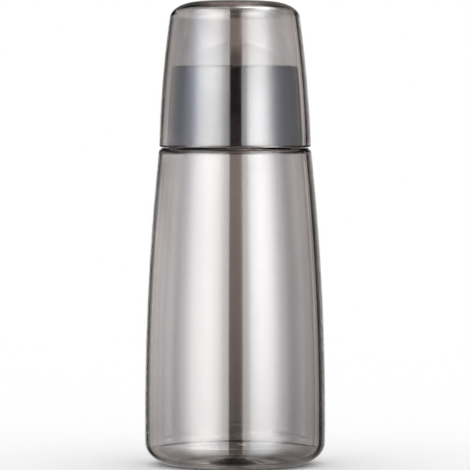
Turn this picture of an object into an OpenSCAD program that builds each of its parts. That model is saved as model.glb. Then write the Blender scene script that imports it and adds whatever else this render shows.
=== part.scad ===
// Bedside carafe with its tumbler: a smoked glass carafe whose neck carries an upturned drinking glass,
// rim down on the shoulder. Both pieces are turned shapes about one upright axis.
// Millimetres, +Z up, origin at the centre of the foot.

/* [Carafe body] */
// Largest outside diameter of the body
body_d = 95; // [85:0.5:120]
// Height of the largest diameter above the foot
body_widest_h = 27; // [15:0.5:40]
// Height of the shoulder ledge above the foot
shoulder_h = 166.9; // [130:0.1:210]
// Outside diameter at the shoulder, which the tumbler's rim lies flush with
shoulder_d = 80; // [66:0.5:96]
// Rounding of the shoulder's outer edge, as far as the ledge has room for it
shoulder_round_r = 2.8; // [0.5:0.1:3.5]
// Wall thickness of the body
body_wall = 3; // [2:0.1:4]
// Thickness of the shoulder ledge
shoulder_t = 2; // [1.8:0.1:4]
// Rounding of both corners under the shoulder ledge
shoulder_inner_round_r = 2; // [0.5:0.1:4]

/* [Carafe base] */
// Thickness of the base, from the heel in to the middle
base_t = 1.2; // [1:0.1:5]
// Width of the rounded heel, from the side in to the flat foot
heel_w = 17; // [8:0.5:20]
// Height of the rounded heel
heel_h = 12; // [8:0.5:15]
// Diameter of the punt, the push-up in the middle of the base
punt_d = 27; // [14:0.5:40]
// Height of the punt at its centre
punt_h = 2.6; // [1:0.1:4]
// Diameter of the pontil ring on the punt, along the middle of its bead
pontil_d = 11; // [4:0.5:12]
// Width of the pontil ring's bead
pontil_w = 1.6; // [0.8:0.1:2]
// Height of the pontil ring's bead
pontil_h = 0.35; // [0.1:0.05:0.8]

/* [Carafe neck] */
// Height of the neck above the ledge, up to its fire-polished rim
neck_h = 42.5; // [30:0.5:60]
// Wall thickness of the neck
neck_wall = 2.8; // [2:0.1:4]
// Fillet where the neck rises from the ledge
neck_fillet_r = 1.2; // [0.4:0.1:1.6]

/* [Tumbler] */
// Height of the tumbler from rim to base
tumbler_h = 76.6; // [64:0.1:100]
// Outside diameter where the side meets the rounded base
crown_d = 68.6; // [58:0.1:82]
// How far the side swells out past a straight taper
side_swell = 1; // [0:0.1:3]
// Wall thickness of the tumbler
tumbler_wall = 2.5; // [1.8:0.1:3.5]
// Thickness of the tumbler's base
tumbler_base_t = 4; // [3:0.1:7]
// Width of the rounding, from the side in to the flat base
crown_round_w = 16; // [10:0.5:24]
// Height of the rounding between side and base
crown_round_h = 9; // [7.5:0.1:12]
// Rounding where the tumbler's inner floor meets its wall
tumbler_floor_round_r = 4; // [3:0.1:12]

/* [Fit] */
// Gap between the neck and the tumbler, all the way round
neck_gap = 1.7; // [0.5:0.1:3]
// Gap between the tumbler's rim and the shoulder that carries it
seat_gap = 0.3; // [0.1:0.05:0.6]

/* [Hidden] */

// Straight pieces that stand for one curved stretch of an outline
side_steps = 28;
corner_steps = 12;
bowl_steps = 24;
punt_steps = 48;
turn_steps = 128;

glass_colour = [0.46, 0.43, 0.42, 0.6];

function mix(a, b, t) = a + (b - a) * t;
function steps(a, b, count) = [for (i = [0:count]) mix(a, b, i / count)];

// Points on an ellipse about centre, with half-widths w and h, from angle a to angle b
function ellipse(centre, w, h, a, b, count = corner_steps) =
    [for (t = steps(a, b, count)) centre + [w * cos(t), h * sin(t)]];
function arc(centre, r, a, b) = ellipse(centre, r, r, a, b);

// Share of a rounded bead's height at a distance from its middle
function bead_share(distance, w) = max(0, 1 - pow(distance / (w / 2), 2));

// Outside radius of the body at height z: upright at its widest, leaning in towards the shoulder
function body_r(z) =
    mix(body_d, shoulder_d, pow((z - body_widest_h) / (shoulder_h - body_widest_h), 2)) / 2;
function body_inner_r(z) = body_r(z) - body_wall;

// How steeply the body's side leans in at the shoulder, as radius lost per height
shoulder_lean = (body_d - shoulder_d) / (shoulder_h - body_widest_h);
shoulder_angle = atan(shoulder_lean);

// The shoulder's rounded edge leaves the ledge room for the fillet at the neck
ledge_w = tumbler_wall + neck_gap;
shoulder_edge_r = min(shoulder_round_r, ledge_w - neck_fillet_r);
shoulder_start_z = shoulder_h - shoulder_edge_r * (1 - sin(shoulder_angle));
shoulder_centre = [
    body_r(shoulder_start_z) - shoulder_edge_r * cos(shoulder_angle),
    shoulder_h - shoulder_edge_r
];

// How steeply the tumbler's side leans in where it meets the rounded base
crown_lean = ((shoulder_d - crown_d) / 2 + 4 * side_swell) / (tumbler_h - crown_round_h);
crown_angle = atan(crown_lean * crown_round_h / crown_round_w);
tumbler_side_h = tumbler_h - crown_round_h * (1 - sin(crown_angle));

// Outside radius of the tumbler's side at a height above its rim: a straight taper with a slight swell
function tumbler_side_r(h) =
    mix(shoulder_d, crown_d, h / tumbler_side_h) / 2
        + 4 * side_swell * h / tumbler_side_h * (1 - h / tumbler_side_h);

// The tumbler's round rim comes down beside the shoulder's round edge until the seat gap is left
rim_round_r = tumbler_wall / 2;
rim_centre_r = tumbler_side_r(rim_round_r) - rim_round_r;
rim_reach = shoulder_edge_r + rim_round_r + seat_gap;
rim_aside = max(0, rim_centre_r - shoulder_centre.x);
rim_z = shoulder_centre.y + sqrt(pow(rim_reach, 2) - pow(rim_aside, 2)) - rim_round_r;
top_z = rim_z + tumbler_h;

function tumbler_r(z) = tumbler_side_r(z - rim_z);
function tumbler_inner_r(z) = tumbler_r(z) - tumbler_wall;

// The neck follows the inside of the tumbler at an even gap
function neck_r(z) = tumbler_inner_r(z) - neck_gap;
function neck_inner_r(z) = neck_r(z) - neck_wall;

// How far the base rises at radius r: a domed punt with the pontil ring on it
function punt_z(r) =
    punt_h * (1 - pow(r / (punt_d / 2), 2)) + pontil_h * bead_share(r - pontil_d / 2, pontil_w);
punt_radii = steps(0, punt_d / 2, punt_steps);

// The inside of the heel follows its outside
foot_r = body_r(heel_h) - heel_w;
bowl_w = heel_w - base_t;
bowl_h = heel_h - base_t;
bowl = ellipse([body_inner_r(heel_h) - bowl_w, heel_h], bowl_w, bowl_h, 0, -90, bowl_steps);

// Heights and centres along the rest of the carafe's outline
neck_top_z = shoulder_h + neck_h;
neck_fillet_z = shoulder_h + neck_fillet_r;
neck_fillet_centre = [neck_r(neck_fillet_z) + neck_fillet_r, neck_fillet_z];
neck_round_r = neck_wall / 2;
neck_rim_z = neck_top_z - neck_round_r;
neck_rim_centre = [neck_r(neck_rim_z) - neck_round_r, neck_rim_z];
under_z = shoulder_h - shoulder_t;
// The two roundings under the ledge share the step between bore and wall
under_step = body_inner_r(under_z) - neck_inner_r(under_z);
under_round_r = min(shoulder_inner_round_r, under_step / 2);
under_wall_z = under_z - under_round_r;
neck_bore_z = under_z + under_round_r;
neck_bore_centre = [neck_inner_r(neck_bore_z) + under_round_r, neck_bore_z];

carafe_outline = concat(
    // Underside: punt with its pontil ring, then the flat foot and the heel
    [for (r = punt_radii) [r, punt_z(r)]],
    ellipse([foot_r, heel_h], heel_w, heel_h, -90, 0),
    // Outside: body, shoulder edge, ledge and neck
    [for (z = steps(heel_h, shoulder_start_z, side_steps)) [body_r(z), z]],
    arc(shoulder_centre, shoulder_edge_r, shoulder_angle, 90),
    arc(neck_fillet_centre, neck_fillet_r, 270, 180),
    [for (z = steps(neck_fillet_z, neck_rim_z, side_steps)) [neck_r(z), z]],
    // Fire-polished rim
    arc(neck_rim_centre, neck_round_r, 0, 180),
    // Inside: neck bore, underside of the ledge, wall, heel, and floor over the punt
    [for (z = steps(neck_rim_z, neck_bore_z, side_steps)) [neck_inner_r(z), z]],
    arc(neck_bore_centre, under_round_r, 180, 270),
    arc([body_inner_r(under_wall_z) - under_round_r, under_wall_z], under_round_r, 90, 0),
    [for (z = steps(under_wall_z, heel_h, side_steps)) [body_inner_r(z), z]],
    bowl,
    [for (i = [punt_steps:-1:0]) [punt_radii[i], base_t + punt_z(punt_radii[i])]]
);

tumbler_rim_centre = [rim_centre_r, rim_z + rim_round_r];
crown_centre = [crown_d / 2 - crown_round_w * cos(crown_angle), top_z - crown_round_h];
tumbler_floor_z = top_z - tumbler_base_t;
tumbler_wall_z = tumbler_floor_z - tumbler_floor_round_r;
tumbler_floor_centre = [tumbler_inner_r(tumbler_wall_z) - tumbler_floor_round_r, tumbler_wall_z];

tumbler_outline = concat(
    // Fire-polished rim, from the inside round to the outside
    arc(tumbler_rim_centre, rim_round_r, 180, 360),
    // Outside: side and rounded base
    [for (h = steps(rim_round_r, tumbler_side_h, side_steps)) [tumbler_side_r(h), rim_z + h]],
    ellipse(crown_centre, crown_round_w, crown_round_h, crown_angle, 90),
    // Inside: floor, its rounding and the side
    [[0, top_z], [0, tumbler_floor_z]],
    arc(tumbler_floor_centre, tumbler_floor_round_r, 90, 0),
    [for (z = steps(tumbler_wall_z, tumbler_rim_centre.y, side_steps)) [tumbler_inner_r(z), z]]
);

module turned(outline) {
    rotate_extrude($fn = turn_steps) polygon(outline);
}

module carafe() {
    color(glass_colour) turned(carafe_outline);
}

module tumbler() {
    color(glass_colour) turned(tumbler_outline);
}

carafe();
tumbler();
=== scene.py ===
import math
from collections import namedtuple

import bmesh
import bpy
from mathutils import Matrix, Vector


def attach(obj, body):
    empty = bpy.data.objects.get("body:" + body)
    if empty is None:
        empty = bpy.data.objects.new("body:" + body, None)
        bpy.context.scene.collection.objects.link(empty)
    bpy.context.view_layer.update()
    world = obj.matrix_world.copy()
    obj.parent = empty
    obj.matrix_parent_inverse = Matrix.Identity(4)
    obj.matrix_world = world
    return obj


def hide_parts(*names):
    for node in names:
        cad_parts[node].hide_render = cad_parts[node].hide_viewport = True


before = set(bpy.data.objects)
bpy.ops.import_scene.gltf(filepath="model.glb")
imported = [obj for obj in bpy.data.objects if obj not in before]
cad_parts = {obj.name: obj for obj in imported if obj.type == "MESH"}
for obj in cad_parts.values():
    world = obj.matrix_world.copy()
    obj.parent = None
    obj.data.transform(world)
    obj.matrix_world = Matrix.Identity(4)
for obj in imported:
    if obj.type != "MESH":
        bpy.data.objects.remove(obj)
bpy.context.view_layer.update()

# Sizes are in metres, the small ones written as millimetres times MM
MM = 0.001

# Carafe body
body_d = 95 * MM
body_widest_h = 27 * MM
shoulder_h = 166.9 * MM
shoulder_d = 80 * MM
shoulder_round_r = 2.8 * MM
body_wall = 3 * MM
shoulder_t = 2 * MM
shoulder_inner_round_r = 2 * MM

# Carafe base
base_t = 1.2 * MM
heel_w = 17 * MM
heel_h = 12 * MM
punt_d = 27 * MM
punt_h = 2.6 * MM
pontil_d = 11 * MM
pontil_w = 1.6 * MM
pontil_h = 0.35 * MM

# Carafe neck
neck_h = 42.5 * MM
neck_wall = 2.8 * MM
neck_fillet_r = 1.2 * MM

# Tumbler
tumbler_h = 76.6 * MM
crown_d = 68.6 * MM
side_swell = 1 * MM
tumbler_wall = 2.5 * MM
tumbler_base_t = 4 * MM
crown_round_w = 16 * MM
crown_round_h = 9 * MM
tumbler_floor_round_r = 4 * MM

# Fit of the tumbler on the carafe
neck_gap = 1.7 * MM
seat_gap = 0.3 * MM

# Straight pieces that stand for one stretch of an outline, and for one turn
SIDE_STEPS = 32
CORNER_STEPS = 16
BOWL_STEPS = 140
PUNT_STEPS = 48
FLAT_STEPS = 8
CROWN_STEPS = 32
TURN_STEPS = 192
# Points nearer to each other than this are one point
SAME_POINT = 0.001 * MM

shoulder_angle = math.atan((body_d - shoulder_d) / (shoulder_h - body_widest_h))
shoulder_edge_r = min(shoulder_round_r, tumbler_wall + neck_gap - neck_fillet_r)
shoulder_start_z = shoulder_h - shoulder_edge_r * (1 - math.sin(shoulder_angle))
crown_lean = ((shoulder_d - crown_d) / 2 + 4 * side_swell) / (tumbler_h - crown_round_h)
crown_angle = math.atan(crown_lean * crown_round_h / crown_round_w)
tumbler_side_h = tumbler_h - crown_round_h * (1 - math.sin(crown_angle))


def mix(a, b, t):
    return a + (b - a) * t


def steps(a, b, count):
    return [mix(a, b, i / count) for i in range(count + 1)]


def ellipse(centre, w, h, a, b, count=CORNER_STEPS):
    """Points on an ellipse with half-widths w and h, from angle a to angle b in degrees."""
    angles = [math.radians(t) for t in steps(a, b, count)]
    return [(centre[0] + w * math.cos(t), centre[1] + h * math.sin(t)) for t in angles]


def arc(centre, r, a, b):
    return ellipse(centre, r, r, a, b)


def side(radius, a, b):
    """Points of a side whose radius is a function of height."""
    return [(radius(z), z) for z in steps(a, b, SIDE_STEPS)]


def body_r(z):
    """Outside radius of the body: upright at its widest, leaning in towards the shoulder."""
    return mix(body_d, shoulder_d, ((z - body_widest_h) / (shoulder_h - body_widest_h)) ** 2) / 2


def body_inner_r(z):
    return body_r(z) - body_wall


def tumbler_side_r(h):
    """Outside radius of the tumbler at a height above its rim."""
    t = h / tumbler_side_h
    return mix(shoulder_d, crown_d, t) / 2 + 4 * side_swell * t * (1 - t)


# The tumbler's round rim stands beside the shoulder's round edge with the seat gap between them
shoulder_centre = (
    body_r(shoulder_start_z) - shoulder_edge_r * math.cos(shoulder_angle),
    shoulder_h - shoulder_edge_r,
)
rim_round_r = tumbler_wall / 2
rim_centre_r = tumbler_side_r(rim_round_r) - rim_round_r
rim_reach = shoulder_edge_r + rim_round_r + seat_gap
rim_aside = max(0.0, rim_centre_r - shoulder_centre[0])
rim_z = shoulder_centre[1] + math.sqrt(rim_reach ** 2 - rim_aside ** 2) - rim_round_r
top_z = rim_z + tumbler_h


def tumbler_r(z):
    return tumbler_side_r(z - rim_z)


def tumbler_inner_r(z):
    return tumbler_r(z) - tumbler_wall


def neck_r(z):
    """Outside radius of the neck, which follows the inside of the tumbler at an even gap."""
    return tumbler_inner_r(z) - neck_gap


def neck_inner_r(z):
    return neck_r(z) - neck_wall


def bead(distance, w, h):
    """Height of a rounded bead of width w at a distance from its middle."""
    return h * max(0.0, 1 - (distance / (w / 2)) ** 2)


def punt_z(r):
    """How far the base rises at radius r: a domed punt with the pontil ring on it."""
    return punt_h * (1 - (r / (punt_d / 2)) ** 2) + bead(r - pontil_d / 2, pontil_w, pontil_h)


# Fire-polished rim of the neck
neck_round_r = neck_wall / 2
neck_rim_z = shoulder_h + neck_h - neck_round_r
neck_rim_centre = (neck_r(neck_rim_z) - neck_round_r, neck_rim_z)

# Finish of a face: power of its tint behind the axis and in front, share of lustre, share of the cool hue
Finish = namedtuple("Finish", "tint_behind tint_in_front lustre cool")
OUTSIDE = Finish(1.0, 1.0, 0.0, 0.0)
NECK = Finish(3.0, 3.0, 1.0, 1.0)
INSIDE = Finish(0.0, 0.0, 1.0, 0.0)
# A dark line of painted shade inside the heel, deep tint behind the axis and none in front, so it shows on
# the far side only
PAINTED_SHADE_LINE = Finish(6.0, 0.0, 1.0, 0.0)
FLOOR = Finish(1.0, 1.0, 0.5, 0.0)
PUNT = Finish(4.0, 4.0, 0.0, 0.0)
FOOT = Finish(1.8, 1.8, 0.0, 0.0)
# Sine of the angle over which a tint changes from behind to in front
TURN_FADE = 0.15
# Height and width of the painted dark line of shade inside the heel, and height up to which the floor's
# finish goes
shade_line_h = 8.7 * MM
shade_line_w = 0.8 * MM
floor_h = 3.5 * MM
# Angles on the heel and the two rims at which one finish ends and the next begins
HEEL_FINISH = (-55, -45)
NECK_RIM_FINISH = (165, 170)
TUMBLER_RIM_FINISH = (195, 190)


def carafe_outside():
    """Stretches of the carafe's outside with their finishes, from the middle of the foot to the rim."""
    heel_centre = (body_r(heel_h) - heel_w, heel_h)
    fillet_z = shoulder_h + neck_fillet_r
    fillet_centre = (neck_r(fillet_z) + neck_fillet_r, fillet_z)
    foot = (
        [(r, punt_z(r)) for r in steps(0, punt_d / 2, PUNT_STEPS)]
        + ellipse(heel_centre, heel_w, heel_h, -90, HEEL_FINISH[0])
    )
    body = (
        ellipse(heel_centre, heel_w, heel_h, HEEL_FINISH[1], 0)
        + side(body_r, heel_h, shoulder_start_z)
        + arc(shoulder_centre, shoulder_edge_r, math.degrees(shoulder_angle), 90)
        + arc(fillet_centre, neck_fillet_r, 270, 180)
    )
    neck = (
        side(neck_r, fillet_z, neck_rim_z)
        + arc(neck_rim_centre, neck_round_r, 0, NECK_RIM_FINISH[0])
    )
    return [(foot, FOOT), (body, OUTSIDE), (neck, NECK)]


def carafe_wall():
    """Points of the carafe's inside, from the rim down to the top of the heel."""
    under_z = shoulder_h - shoulder_t
    under_r = min(shoulder_inner_round_r, (body_inner_r(under_z) - neck_inner_r(under_z)) / 2)
    wall_z = under_z - under_r
    bore_z = under_z + under_r
    return (
        arc(neck_rim_centre, neck_round_r, NECK_RIM_FINISH[1], 180)
        + side(neck_inner_r, neck_rim_z, bore_z)
        + arc((neck_inner_r(bore_z) + under_r, bore_z), under_r, 180, 270)
        + arc((body_inner_r(wall_z) - under_r, wall_z), under_r, 90, 0)
        + side(body_inner_r, wall_z, heel_h)
    )


def carafe_inside():
    """Stretches of the carafe's inside with their finishes, from the rim to the middle of the base."""
    bowl_w = heel_w - base_t
    bowl_r = body_inner_r(heel_h) - bowl_w
    bowl = ellipse((bowl_r, heel_h), bowl_w, heel_h - base_t, 0, -90, BOWL_STEPS)
    # A thin band of the bowl gets the painted shade line
    shade_line_low, shade_line_high = shade_line_h - shade_line_w / 2, shade_line_h + shade_line_w / 2
    wall = carafe_wall() + [(r, z) for r, z in bowl if z > shade_line_high]
    line = [(r, z) for r, z in bowl if shade_line_low <= z <= shade_line_high]
    lower = [(r, z) for r, z in bowl if floor_h < z < shade_line_low]
    floor = (
        [(r, z) for r, z in bowl if z <= floor_h]
        + [(r, base_t) for r in steps(bowl_r, punt_d / 2, FLAT_STEPS)]
    )
    punt = [(r, base_t + punt_z(r)) for r in steps(punt_d / 2, 0, PUNT_STEPS)]
    return [(wall, INSIDE), (line, PAINTED_SHADE_LINE), (lower, INSIDE), (floor, FLOOR), (punt, PUNT)]


def tumbler_outline():
    """Stretches of the tumbler's outside and inside, from the middle of its base round the rim and back."""
    rim_centre = (rim_centre_r, rim_z + rim_round_r)
    crown_centre = (crown_d / 2 - crown_round_w * math.cos(crown_angle), top_z - crown_round_h)
    floor_z = top_z - tumbler_base_t
    corner_z = floor_z - tumbler_floor_round_r
    corner_r = tumbler_inner_r(corner_z) - tumbler_floor_round_r
    outside = (
        [(r, top_z) for r in steps(0, crown_centre[0], FLAT_STEPS)]
        + ellipse(crown_centre, crown_round_w, crown_round_h, 90, math.degrees(crown_angle), CROWN_STEPS)
        + side(tumbler_r, rim_z + tumbler_side_h, rim_centre[1])
        + arc(rim_centre, rim_round_r, 360, TUMBLER_RIM_FINISH[0])
    )
    inside = (
        arc(rim_centre, rim_round_r, TUMBLER_RIM_FINISH[1], 180)
        + side(tumbler_inner_r, rim_centre[1], corner_z)
        + arc((corner_r, corner_z), tumbler_floor_round_r, 0, 90)
        + [(r, floor_z) for r in steps(corner_r, 0, FLAT_STEPS)]
    )
    return [(outside, OUTSIDE), (inside, INSIDE)]


def distinct(points):
    """The points of an outline, without those that repeat the one before."""
    kept = points[:1]
    for point in points[1:]:
        if math.dist(point[:2], kept[-1][:2]) > SAME_POINT:
            kept.append(point)
    return kept


def new_object(name, bm):
    mesh = bpy.data.meshes.new(name)
    bm.to_mesh(mesh)
    bm.free()
    obj = bpy.data.objects.new(name, mesh)
    bpy.context.scene.collection.objects.link(obj)
    return obj


def paint(vertex, angle, finish, layers):
    """Write a finish to a vertex that stands at an angle about the axis."""
    # Only the painted shade line has a tint behind the axis that differs from the one in front
    behind = min(1.0, max(0.0, 1 + math.sin(angle) / TURN_FADE))
    vertex[layers["tint"]] = mix(finish.tint_in_front, finish.tint_behind, behind)
    vertex[layers["lustre"]] = finish.lustre
    vertex[layers["cool"]] = finish.cool


def turned(name, outline):
    """A closed mesh turned about Z, whose vertices carry their finish."""
    points = distinct([(*point, finish) for stretch, finish in outline for point in stretch])
    bm = bmesh.new()
    layers = {key: bm.verts.layers.float.new(key) for key in ("tint", "lustre", "cool")}
    rings = []
    for r, z, finish in points:
        count = TURN_STEPS if r > SAME_POINT else 1
        angles = [2 * math.pi * i / TURN_STEPS for i in range(count)]
        rings.append([bm.verts.new((r * math.cos(a), r * math.sin(a), z)) for a in angles])
        for vertex, angle in zip(rings[-1], angles):
            paint(vertex, angle, finish, layers)
    for low, high in zip(rings, rings[1:]):
        for i in range(TURN_STEPS):
            j = (i + 1) % TURN_STEPS
            corners = [low[i % len(low)], low[j % len(low)], high[j % len(high)], high[i % len(high)]]
            bm.faces.new(list(dict.fromkeys(corners)))
    bmesh.ops.recalc_face_normals(bm, faces=bm.faces)
    for face in bm.faces:
        face.smooth = True
    return new_object(name, bm)


def rgba(colour):
    return (*colour, 1)


def put(tree, value, socket):
    """Set an input to a plain value, or link it to another node's output."""
    if isinstance(value, bpy.types.NodeSocket):
        tree.links.new(value, socket)
    else:
        socket.default_value = value


def node(tree, kind, **inputs):
    """A new node with some of its inputs set or linked."""
    n = tree.nodes.new(kind)
    for name, value in inputs.items():
        put(tree, value, n.inputs[name.replace("_", " ")])
    return n


def calc(tree, operation, *values):
    """The result of one operation on numbers and outputs."""
    n = tree.nodes.new("ShaderNodeMath")
    n.operation = operation
    for value, socket in zip(values, n.inputs):
        put(tree, value, socket)
    return n.outputs[0]


def scaled(tree, value, low, high, to_low=0.0, to_high=1.0, smooth=False):
    """A value between low and high, scaled to another range and held at its ends."""
    n = node(tree, "ShaderNodeMapRange", Value=value, From_Min=low, From_Max=high)
    n.inputs["To Min"].default_value = to_low
    n.inputs["To Max"].default_value = to_high
    if smooth:
        n.interpolation_type = "SMOOTHSTEP"
    return n.outputs["Result"]


def mix_colour(tree, blend, share, a, b):
    """A blend of two colours, each a plain value or an output."""
    n = tree.nodes.new("ShaderNodeMix")
    n.data_type = "RGBA"
    n.blend_type = blend
    for name, value in (("Factor", share), ("A", a), ("B", b)):
        put(tree, value, next(i for i in n.inputs if i.name == name and i.enabled))
    return next(o for o in n.outputs if o.enabled)


def layer(tree, name):
    """The value of a mesh's vertex layer."""
    n = tree.nodes.new("ShaderNodeAttribute")
    n.attribute_name = name
    return n.outputs["Fac"]


GLASS_IOR = 1.47
BODY_TINT = (0.605, 0.6, 0.6)
TUMBLER_TINT = (0.575, 0.57, 0.57)
# How many times a metre the tint changes, and by what share
CLOUD_SCALE = 18
TINT_VARIES = 0.04
# Hue that the neck has over its tint
COOL_HUE = (0.9, 0.97, 1.08)
# The lustre mirrors the more, the higher its IOR, and tints only the light that passes it
BODY_LUSTRE_IOR = 3.3
TUMBLER_LUSTRE_IOR = 3.5
LUSTRE_TINT = (1.0, 0.965, 0.94)
# Light that a metre of glass takes, in red, green and blue, and how far the density lies over the most
ABSORB = (11, 14, 16)
DENSITY_OVER = 1.1


def glass_tint(tree, tint):
    """The tint to the power of a face's finish, a little uneven, and cooler where the finish says."""
    place = tree.nodes.new("ShaderNodeTexCoord").outputs["Object"]
    cloud = node(tree, "ShaderNodeTexNoise", Vector=place, Scale=CLOUD_SCALE).outputs["Fac"]
    depth = scaled(tree, cloud, 0, 1, 1 - TINT_VARIES, 1 + TINT_VARIES)
    power = calc(tree, "MULTIPLY", layer(tree, "tint"), depth)
    tinted = node(tree, "ShaderNodeGamma", Color=rgba(tint), Gamma=power).outputs["Color"]
    return mix_colour(tree, "MULTIPLY", layer(tree, "cool"), tinted, rgba(COOL_HUE))


def glass_volume(tree):
    """The light that is lost on the way through the glass."""
    density = max(ABSORB) * DENSITY_OVER
    clear = [1 - a / density for a in ABSORB]
    return node(tree, "ShaderNodeVolumeAbsorption", Density=density, Color=rgba(clear)).outputs["Volume"]


def smoked_glass(name, tint, lustre_ior):
    """Tinted glass with a mirror lustre, each where the vertex layers say."""
    material = bpy.data.materials.new(name)
    material.use_nodes = True
    tree = material.node_tree
    inputs = tree.nodes["Principled BSDF"].inputs
    inputs["Transmission Weight"].default_value = 1
    inputs["Roughness"].default_value = 0
    inputs["IOR"].default_value = GLASS_IOR
    inputs["Coat IOR"].default_value = lustre_ior
    inputs["Coat Roughness"].default_value = 0
    inputs["Coat Tint"].default_value = rgba(LUSTRE_TINT)
    put(tree, layer(tree, "lustre"), inputs["Coat Weight"])
    put(tree, glass_tint(tree, tint), inputs["Base Color"])
    put(tree, glass_volume(tree), tree.nodes["Material Output"].inputs["Volume"])
    return material


def glass_piece(name, body, outline, material):
    obj = turned(name, outline)
    obj.data.materials.append(material)
    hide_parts(body)
    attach(obj, body)


def carafe():
    material = smoked_glass("smoked_glass_carafe", BODY_TINT, BODY_LUSTRE_IOR)
    glass_piece("carafe_glass", "carafe", carafe_outside() + carafe_inside(), material)


def tumbler():
    material = smoked_glass("smoked_glass_tumbler", TUMBLER_TINT, TUMBLER_LUSTRE_IOR)
    glass_piece("tumbler_glass", "tumbler", tumbler_outline(), material)


# Stage: a white floor, a tent of soft light, a dark strip behind the object and dark discs of painted shadow
# under it
WHITE = (1, 1, 1)
FLOOR_R = 1.2
DISC_SIDES = 96
TENT_R = 2.0
TENT_Z = 0.12
TENT_SIDES = 96
TENT_RINGS = 48

# Light level round the object by azimuth in degrees, 0 at the camera and positive to the right
# Here and below, a value named FULL is the top of its curves
AROUND_FULL = 4.0
AROUND = [
    # Behind on the left, with a dark gap
    (-180, 1.1), (-171, 1.1), (-169, 1.0), (-164, 0.88), (-161, 0.3), (-156, 0.08), (-150, 0.08),
    (-146, 0.3), (-141, 0.8), (-122, 0.75), (-105, 0.5), (-90, 0.48),
    # A soft box in front on the left
    (-78, 0.65), (-65, 1.35), (-52, 2.15), (-40, 2.3), (-30, 2.05), (-18, 1.2), (-12, 0.8), (-9.5, 0.7),
    # A dark gap where the camera stands
    (-7.5, 0.1), (-6, 0.02), (8.5, 0.02),
    # A soft box in front on the right
    (10.5, 0.7), (13, 0.85), (16, 1.0), (20, 1.8), (30, 2.86), (37, 3.0), (45, 2.75), (57.5, 1.6),
    (72, 0.6), (90, 0.28),
    # Behind on the right, with a narrow light and a dark gap
    (128, 0.25), (132, 1.0), (135, 0.15), (140, 0.02), (144, 0.02), (148, 0.2), (153, 0.3), (158, 0.5),
    (163, 0.8), (168, 1.1), (180, 1.1),
]

# Share of that level by elevation in degrees: in front on the left and on the right, and behind
UPRIGHT_FULL = 1.25
LEFT_UPRIGHT = [
    (-90, 0.0), (-69, 0.0), (-65, 0.1), (-52, 0.2), (-40, 0.42), (-30, 0.62), (-12, 0.9), (-7.2, 0.95),
    (-1.7, 1.0), (1.8, 1.02), (5.3, 1.0), (8.7, 1.03), (11, 1.09), (13, 1.14), (16, 1.12), (18.5, 0.87),
    (23, 0.8), (40, 0.88), (60, 0.95), (80, 0.95), (90, 0.9),
]
RIGHT_UPRIGHT = [
    (-90, 0.0), (-69, 0.0), (-65, 0.1), (-52, 0.18), (-40, 0.36), (-30, 0.5), (-12, 0.66), (-7.2, 0.73),
    (-5.2, 0.81), (-1.7, 0.91), (1.8, 0.965), (5.3, 1.0), (8.7, 1.0), (11, 0.95), (13, 0.87), (16, 0.77),
    (18.5, 0.6), (23, 0.55), (40, 0.85), (60, 0.95), (80, 0.95), (90, 0.9),
]
REAR_FULL = 1.0
REAR_UPRIGHT = [
    (-90, 0.0), (-72, 0.0), (-66, 0.25), (-30, 0.25), (-14, 0.4), (-9.2, 0.56), (-7.9, 0.62), (-6.6, 0.72),
    (-3.4, 0.86), (-0.3, 0.92), (1, 0.93), (2, 0.9), (5.5, 0.88), (10, 0.85), (13, 0.6), (18, 0.2),
    (30, 0.18), (40, 0.25), (50, 0.4), (90, 0.4),
]
# Places along Y between which the shares and the colour change from those in front to those behind
BACK_FROM, BACK_TO = -0.3, 0.6
# Level added by elevation
ENDS_FULL = 1.0
ENDS = [(-90, 0.0), (30, 0.0), (50, 0.1), (90, 0.3)]

# Behind, the left is lighter by this share below these elevations and the right above them
LEAN_SHARE = 0.2
LEAN_DEGREES = (1.9, 4.3)
# Half-width of the zone in the middle where the lean changes sides
LEAN_SPLIT = 20 * MM

# A round lamp high behind on the right: its azimuth, its elevation, the angles where it fades, and its level
LAMP_AZIMUTH = 122
LAMP_ELEVATION = 68
LAMP_DEGREES = (22, 2)
LAMP_LEVEL = 5

FRONT_COLOUR = (0.955, 1.0, 1.045)
REAR_COLOUR = (1.0, 0.992, 0.99)
# Light from the two sides is cooler, from one distance beside the object to another
SIDE_COLOUR = (0.88, 0.98, 1.16)
SIDE_FROM, SIDE_TO = 1.6, 1.95

# The strip's width and place, its middle at the bottom and at the top, and its level by height
STRIP_W = 9.7 * MM
STRIP_Y = 250 * MM
STRIP_X = (0.12 * MM, 1.3 * MM)
STRIP_LEVELS = [
    (-200 * MM, 0.2), (-20 * MM, 0.25), (5 * MM, 0.38), (71 * MM, 0.74), (104 * MM, 0.84), (140 * MM, 1.0),
    (168 * MM, 1.0), (178 * MM, 0.4), (222 * MM, 0.4), (230 * MM, 1.05), (400 * MM, 1.05),
]
STRIP_COLOUR = (0.68, 0.58, 0.56)

# Radius, height and colour of the dark discs of painted shadow under the foot
SHADES = {
    "shade_middle": (13.3 * MM, 0.1 * MM, (0.012, 0.008, 0.007)),
    "shade_foot": (34 * MM, -0.1 * MM, (0.12, 0.085, 0.07)),
}


def stage_material(name):
    """A material that only shines, with its nodes and its shader's inputs."""
    material = bpy.data.materials.new(name)
    material.use_nodes = True
    material.cycles.emission_sampling = "NONE"
    tree = material.node_tree
    tree.nodes.clear()
    emission = tree.nodes.new("ShaderNodeEmission")
    node(tree, "ShaderNodeOutputMaterial", Surface=emission.outputs[0])
    return material, tree, emission.inputs


def stage_piece(obj, material, *unseen_by):
    """Finish a piece of the stage, which the kinds of ray named don't see."""
    obj.data.materials.append(material)
    for ray in unseen_by:
        setattr(obj, "visible_" + ray, False)


def disc(name, r):
    bm = bmesh.new()
    bmesh.ops.create_circle(bm, cap_ends=True, segments=DISC_SIDES, radius=r)
    return new_object(name, bm)


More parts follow.
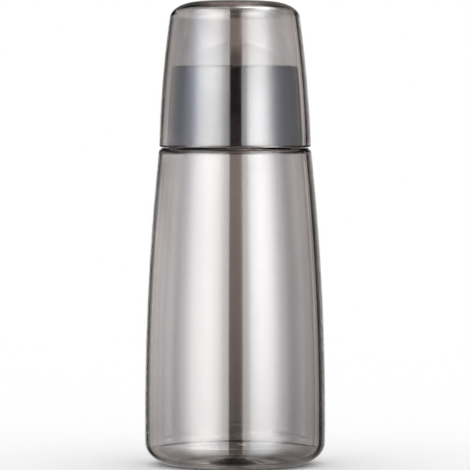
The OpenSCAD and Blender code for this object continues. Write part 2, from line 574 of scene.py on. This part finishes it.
def white_floor():
    material = bpy.data.materials.new("floor_white")
    material.use_nodes = True
    inputs = material.node_tree.nodes["Principled BSDF"].inputs
    inputs["Base Color"].default_value = rgba(WHITE)
    inputs["Roughness"].default_value = 1
    inputs["Specular IOR Level"].default_value = 0
    stage_piece(disc("floor", FLOOR_R), material, "glossy", "transmission")


def shade(name, r, z, colour):
    """A dark disc of painted shadow under the foot, seen only in the glass."""
    obj = disc(name, r)
    obj.location.z = z
    material, tree, inputs = stage_material(name)
    put(tree, rgba(colour), inputs["Color"])
    stage_piece(obj, material, "camera", "diffuse", "volume_scatter", "shadow")


def curve(tree, value, low, high, stops, full):
    """A smooth curve of level, from 0 to full, through stops of angle between low and high."""
    share = scaled(tree, value, math.radians(low), math.radians(high))
    n = node(tree, "ShaderNodeFloatCurve", Value=share)
    points = n.mapping.curves[0].points
    # New points start in the middle and are placed after that
    while len(points) < len(stops):
        points.new(0.5, 0.5)
    for point, (angle, level) in zip(points, stops):
        point.location = ((angle - low) / (high - low), level / full)
        point.handle_type = "AUTO_CLAMPED"
    n.mapping.update()
    return calc(tree, "MULTIPLY", n.outputs["Value"], full)


def tent_azimuth(tree, x, y, z):
    """Azimuth of a place on the tent, less towards the top in front, so that the soft boxes widen there."""
    azimuth = calc(tree, "ARCTAN2", x, calc(tree, "MULTIPLY", y, -1))
    high = calc(tree, "MAXIMUM", calc(tree, "DIVIDE", z, TENT_R), 0.0)
    in_front = calc(tree, "LESS_THAN", y, 0.0)
    less = calc(tree, "MULTIPLY", calc(tree, "MULTIPLY", high, high), in_front)
    return calc(tree, "MULTIPLY", azimuth, calc(tree, "SUBTRACT", 1.0, less))


def tent_upright(tree, x, back, elevation):
    """Share of the level that an elevation has."""
    left = curve(tree, elevation, -90, 90, LEFT_UPRIGHT, UPRIGHT_FULL)
    right = curve(tree, elevation, -90, 90, RIGHT_UPRIGHT, UPRIGHT_FULL)
    is_right = calc(tree, "GREATER_THAN", x, 0.0)
    front = calc(tree, "MULTIPLY_ADD", is_right, calc(tree, "SUBTRACT", right, left), left)
    front = calc(tree, "MULTIPLY", calc(tree, "SUBTRACT", 1.0, back), front)
    behind = curve(tree, elevation, -90, 90, REAR_UPRIGHT, REAR_FULL)
    return calc(tree, "MULTIPLY_ADD", back, behind, front)


def tent_lean(tree, x, y, elevation):
    """Share of the level that the two sides have behind the object."""
    low, high = [math.radians(d) for d in LEAN_DEGREES]
    rise = scaled(tree, elevation, low, high, -LEAN_SHARE, LEAN_SHARE)
    lean = calc(tree, "MULTIPLY", rise, scaled(tree, x, -LEAN_SPLIT, LEAN_SPLIT, -1, 1))
    return calc(tree, "MULTIPLY_ADD", lean, calc(tree, "GREATER_THAN", y, 0.0), 1.0)


def tent_lamp(tree, place):
    """Level of a soft round lamp on the tent."""
    a, e = math.radians(LAMP_AZIMUTH), math.radians(LAMP_ELEVATION)
    towards = Vector((math.sin(a) * math.cos(e), -math.cos(a) * math.cos(e), math.sin(e))) / TENT_R
    near = tree.nodes.new("ShaderNodeVectorMath")
    near.operation = "DOT_PRODUCT"
    put(tree, place, near.inputs[0])
    put(tree, towards, near.inputs[1])
    outer, inner = [math.cos(math.radians(d)) for d in LAMP_DEGREES]
    return scaled(tree, near.outputs["Value"], outer, inner, to_high=LAMP_LEVEL, smooth=True)


def tent_level(tree, x, y, z, back):
    """Level of the tent's light at a place on it, without the lamp."""
    elevation = calc(tree, "ARCSINE", calc(tree, "DIVIDE", z, TENT_R))
    around = curve(tree, tent_azimuth(tree, x, y, z), -180, 180, AROUND, AROUND_FULL)
    level = calc(tree, "MULTIPLY", around, tent_lean(tree, x, y, elevation))
    level = calc(tree, "MULTIPLY", level, tent_upright(tree, x, back, elevation))
    return calc(tree, "ADD", level, curve(tree, elevation, -90, 90, ENDS, ENDS_FULL))


def tent_colour(tree, x, back):
    colour = mix_colour(tree, "MIX", back, rgba(FRONT_COLOUR), rgba(REAR_COLOUR))
    beside = scaled(tree, calc(tree, "ABSOLUTE", x), SIDE_FROM, SIDE_TO)
    return mix_colour(tree, "MIX", beside, colour, rgba(SIDE_COLOUR))


def light_tent():
    bm = bmesh.new()
    bmesh.ops.create_uvsphere(bm, u_segments=TENT_SIDES, v_segments=TENT_RINGS, radius=TENT_R)
    obj = new_object("light_tent", bm)
    obj.location.z = TENT_Z
    material, tree, inputs = stage_material("light_tent")
    place = tree.nodes.new("ShaderNodeTexCoord").outputs["Object"]
    x, y, z = node(tree, "ShaderNodeSeparateXYZ", Vector=place).outputs
    back = scaled(tree, y, BACK_FROM, BACK_TO)
    level = calc(tree, "ADD", tent_level(tree, x, y, z, back), tent_lamp(tree, place))
    put(tree, level, inputs["Strength"])
    put(tree, tent_colour(tree, x, back), inputs["Color"])
    stage_piece(obj, material, "camera", "diffuse", "volume_scatter", "shadow")


def dark_strip():
    bm = bmesh.new()
    level = bm.verts.layers.float.new("level")
    bottom, top = STRIP_LEVELS[0][0], STRIP_LEVELS[-1][0]
    rungs = []
    for z, share in STRIP_LEVELS:
        x = mix(*STRIP_X, (z - bottom) / (top - bottom))
        rungs.append([bm.verts.new((x + end * STRIP_W / 2, STRIP_Y, z)) for end in (-1, 1)])
        for vertex in rungs[-1]:
            vertex[level] = share
    for (a, b), (c, d) in zip(rungs, rungs[1:]):
        bm.faces.new((a, b, d, c))
    material, tree, inputs = stage_material("dark_strip")
    put(tree, rgba(STRIP_COLOUR), inputs["Color"])
    put(tree, layer(tree, "level"), inputs["Strength"])
    obj = new_object("dark_strip", bm)
    stage_piece(obj, material, "camera", "diffuse", "glossy", "volume_scatter", "shadow")


def white_world():
    world = bpy.data.worlds.new("white_studio")
    world.use_nodes = True
    inputs = world.node_tree.nodes["Background"].inputs
    inputs["Color"].default_value = rgba(WHITE)
    inputs["Strength"].default_value = 1
    bpy.context.scene.world = world


# Camera: the photograph shows 470 pixels across, 1.9 of them to a millimetre of the object
PHOTO_PIXELS = 470
PIXELS_PER_MM = 1.9
CAMERA_PLACE = Vector((0, -1.8, 0.165))
CAMERA_TARGET = Vector((0, 0, 0.1209))
# Width of the camera's sensor in its own millimetres
SENSOR_W = 36


def camera():
    data = bpy.data.cameras.new("camera")
    obj = bpy.data.objects.new("camera", data)
    bpy.context.scene.collection.objects.link(obj)
    aim = CAMERA_TARGET - CAMERA_PLACE
    obj.location = CAMERA_PLACE
    obj.rotation_mode = "QUATERNION"
    obj.rotation_quaternion = aim.to_track_quat("-Z", "Y")
    data.sensor_width = SENSOR_W
    data.lens = SENSOR_W * aim.length / (PHOTO_PIXELS / PIXELS_PER_MM * MM)
    bpy.context.scene.camera = obj


# Light meets many faces on its way through four walls of glass
MAX_BOUNCES = 32
GLOSSY_BOUNCES = 16


def render_settings():
    scene = bpy.context.scene
    scene.cycles.max_bounces = MAX_BOUNCES
    scene.cycles.transmission_bounces = MAX_BOUNCES
    scene.cycles.glossy_bounces = GLOSSY_BOUNCES
    scene.view_settings.view_transform = "Standard"


carafe()
tumbler()
for name, sizes in SHADES.items():
    shade(name, *sizes)
white_floor()
light_tent()
dark_strip()
white_world()
camera()
render_settings()
